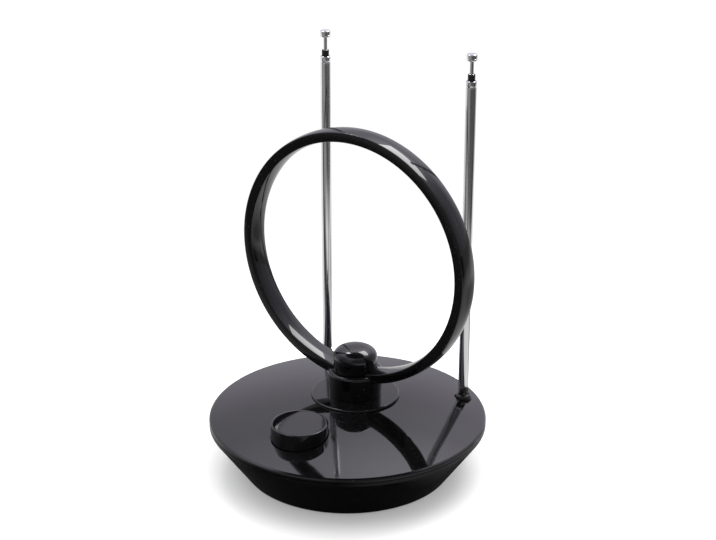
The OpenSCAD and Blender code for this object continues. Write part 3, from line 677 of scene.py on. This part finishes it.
def drawn_tube(name, r, wall, low, high, neck):
    """A drawn tube with its upper end rolled in, and a rolled neck that stops the next one."""
    curl = 0.8 * wall
    outline = [(r - wall, low), (r - 0.1, low), (r, low + 0.1)]
    outline += [(r - neck * share, high - down) for down, share in NECK]
    outline += arc(r - curl, high - curl, curl, 0, 90, 6)
    outline += [(r - wall, high - 0.05), (r - wall, low)]
    return turned(name, outline, ROD_AXIS, ROD_SIDES)


def left_tip():
    """The tip: a small turned button with a fine groove and a rounded upper edge."""
    r, high, bore, groove, edge = 3.2, TIP_Z + 4, INNER_R + FIT_GAP, 0.18, 0.6
    outline = [(bore, TIP_Z), (r - 0.45, TIP_Z), (r - 0.1, TIP_Z + 0.25), (r, TIP_Z + 0.6)]
    outline += [(r, TIP_Z + 1.2), (r - groove, TIP_Z + 1.35), (r - groove, TIP_Z + 1.6),
                (r, TIP_Z + 1.75)]
    outline += arc(r - edge, high - edge, edge, 0, 80, 6)
    outline += [(1.6, high - 0.02), (0, high), (0, high - 1), (bore, high - 1), (bore, TIP_Z)]
    return turned("tip_left", outline, ROD_AXIS, ROD_SIDES)


def left_collar():
    """The black collar: a ring on the second tube's end, with a plug inside it."""
    bore, plug, r = THIRD_R + RUN_GAP, SECOND_R - SECOND_WALL - FIT_GAP, 2.2
    foot = TUBE_TOP - 4
    outline = [(bore, foot), (plug, foot), (plug, TUBE_TOP), (r, TUBE_TOP),
               (r, COLLAR_Z - 0.5), (r - 0.1, COLLAR_Z - 0.2), (r - 0.3, COLLAR_Z),
               (bore, COLLAR_Z), (bore, foot)]
    return turned("collar_left", outline, ROD_AXIS, ROD_SIDES)


def left_foot():
    """The swivelling foot: a low round dome and a fork, slotted upwards and outwards."""
    low, high, stem = TURRET_SEAT + LIFT, HINGE_Z + FORK_R, TURRET_SEAT - 6.3
    stem_r, screw_r, screw_top, edge = 4, 1.5 + FIT_GAP, TURRET_SEAT - 6.3 + 5, 0.7
    outline = [(screw_r, stem), (stem_r, stem), (stem_r, low), (TURRET_R - BREAK, low),
               (TURRET_R, low + BREAK)]
    outline += [(FORK_R + 1.7 * cos(radians(a)), low + 1 + 2.5 * sin(radians(a)))
                for a in range(0, 81, 8)]
    outline += [(FORK_R + 0.08, low + 3.6), (FORK_R, low + 4)]
    outline += arc(FORK_R - edge, high - edge, edge, 0, 90, 6)
    outline += [(0, high), (0, screw_top), (screw_r, screw_top), (screw_r, stem)]
    foot = turned("foot_left", outline, ROD_AXIS, FOOT_SIDES)
    half, reach = 1.65, 3.2
    round_slot = turned("slot_round", [(0, -half), (reach, -half), (reach, half), (0, half)],
                        ROD_HINGE, ROD_SIDES, FRONT_TO_BACK)
    up = block("slot_up", (-ROD_X - reach, ROD_Y - half, HINGE_Z),
               (-ROD_X + 13, ROD_Y + half, HINGE_Z + 20))
    out = block("slot_out", (-ROD_X, ROD_Y - half, HINGE_Z - reach),
                (-ROD_X + 10, ROD_Y + half, HINGE_Z + 1))
    hole = rod_of("pin_room", PIN_R + FIT_GAP, -10, 10, ROD_HINGE, FRONT_TO_BACK)
    return cut(foot, round_slot, up, out, hole)


def left_tongue():
    """The flat tongue on the pin, with the plug that the tube is pressed on."""
    half, plug, shoulder = 1.5, TUBE_R - TUBE_WALL - FIT_GAP, TUBE_Z - 1
    top = TUBE_Z - HINGE_Z
    eye = one_point("tongue_left")
    draw([(-TONGUE_R, top)] + arc(0, 0, TONGUE_R, 180, 360, 24) + [(TONGUE_R, top)],
         (-ROD_X, ROD_Y - half, HINGE_Z), UPRIGHT)
    ops.mesh.select_all(action="SELECT")
    ops.mesh.edge_face_add()
    ops.mesh.extrude_region_move(TRANSFORM_OT_translate={"value": (0, 2 * half * MM, 0)})
    close_up(eye)
    cut(eye, rod_of("pin_room", PIN_R + RUN_GAP, -10, 10, ROD_HINGE, FRONT_TO_BACK))
    outline = [(0, shoulder), (plug - BREAK, shoulder), (plug, TUBE_Z),
               (plug, TUBE_Z + PLUG_L - BREAK), (plug - BREAK, TUBE_Z + PLUG_L),
               (0, TUBE_Z + PLUG_L)]
    return weld(eye, turned("tongue_plug", outline, ROD_AXIS, ROD_SIDES))


def left_pin():
    """The hinge pin, with both ends chamfered."""
    half = 2.85
    outline = [(0, -half), (PIN_R - BREAK, -half), (PIN_R, -half + BREAK),
               (PIN_R, half - BREAK), (PIN_R - BREAK, half), (0, half)]
    return turned("pin_left", outline, ROD_HINGE, HOLE_SIDES, FRONT_TO_BACK)


def left_inner():
    """The innermost rod, up into the tip."""
    low, high = TUBE_Z + PLUG_L + 3 * SECTION_STEP, TIP_Z + 3
    outline = [(0, low), (INNER_R - 0.1, low), (INNER_R, low + 0.1), (INNER_R, high), (0, high)]
    return turned("inner_left", outline, ROD_AXIS, ROD_SIDES)


def make_rods():
    """Each rod's piece is modelled at the left, and its copy stands at the right."""
    second_z = TUBE_Z + PLUG_L + SECTION_STEP
    third_z = second_z + SECTION_STEP
    rows = [
        (drawn_tube("tube_left", TUBE_R, TUBE_WALL, TUBE_Z, TUBE_TOP, neck=0.14),
         "arm", "rod_chrome", "rod_tube"),
        (drawn_tube("second_left", SECOND_R, SECOND_WALL, second_z, TUBE_TOP, neck=0.1),
         "second", "rod_chrome", "rod_second"),
        (drawn_tube("third_left", THIRD_R, THIRD_WALL, third_z, COLLAR_Z, neck=0.08),
         "third", "rod_chrome", "rod_third"),
        (left_collar(), "second", "rod_black", "rod_collar"),
        (left_inner(), "inner", "rod_chrome", "rod_inner"),
        (left_tip(), "inner", "rod_chrome", "rod_tip"),
        (left_foot(), "foot", "rod_black", "rod_foot"),
        (left_tongue(), "arm", "rod_chrome", "rod_tongue"),
        (left_pin(), "foot", "rod_chrome", "hinge_pin"),
    ]
    for piece, body, slot, node in rows:
        right = copy_of(piece, piece.name.replace("left", "right"))
        if node in ("rod_foot", "rod_tongue", "hinge_pin"):
            # With no window the turn goes the other way
            shift(piece, turn=-(180 - FOLD_DIR), about=ROD_AXIS)
            shift(right, turn=-FOLD_DIR, about=ROD_AXIS)
        shift(right, move=(2 * ROD_X, 0, 0))
        place(piece, f"{body}_left", slot, f"{node}_left")
        place(right, f"{body}_right", slot, f"{node}_right")


# ---------------------------------------------------------------- nodes that stay

def paint(names, slot):
    for name in names:
        for place_of_finish in nodes[name].material_slots:
            place_of_finish.material = finishes[slot]


def both(name):
    return [f"{name}_{side}" for side in SIDES]


def dress_nodes():
    """Finishes of the CAD nodes that stay as they are."""
    paint(["top_cover"], "gloss_black")
    paint(["base_tray"], "tray_black")
    paint(["rubber_feet"], "rubber")
    paint(["case_screws", "ballast_plate", "board_screws", "control_nut", "gain_shaft",
           "hub_washer", "hub_screws", *both("foot_screw")], "zinc_steel")
    paint(["shield_can"], "tinned_steel")
    paint(["circuit_board"], "board_green")
    paint(["board_parts", "power_jack", "gain_control"], "part_black")
    paint(["coax_socket"], "nickel_thread")
    paint(["coax_nut", "power_pin"], "nickel")
    paint(["coax_insulator"], "white_plastic")
    paint(["loop_strip", "feed_wires"], "copper")
    paint(both("foot_washer"), "brass")


set_camera()
bpy.context.scene.view_settings.view_transform = "Standard"
studio_world()
lay_floor()
softbox("top_light", (-0.1, 0.1, 1.6), (0, 0, 0), size=(2.2, 2.2), power=36)
softbox("left_lamp", (-0.674, 0.272, 1.39), LAMP_TARGET, size=(0.32, 0.26), power=3.2,
        in_gloss=True)
softbox("right_lamp", (0.173, 0.799, 1.335), LAMP_TARGET, size=(0.9, 0.42), power=8.6,
        in_gloss=True)
finishes = make_finishes()
dress_nodes()
make_loop()
make_post()
make_cap()
make_turntable()
make_knob()
make_rods()
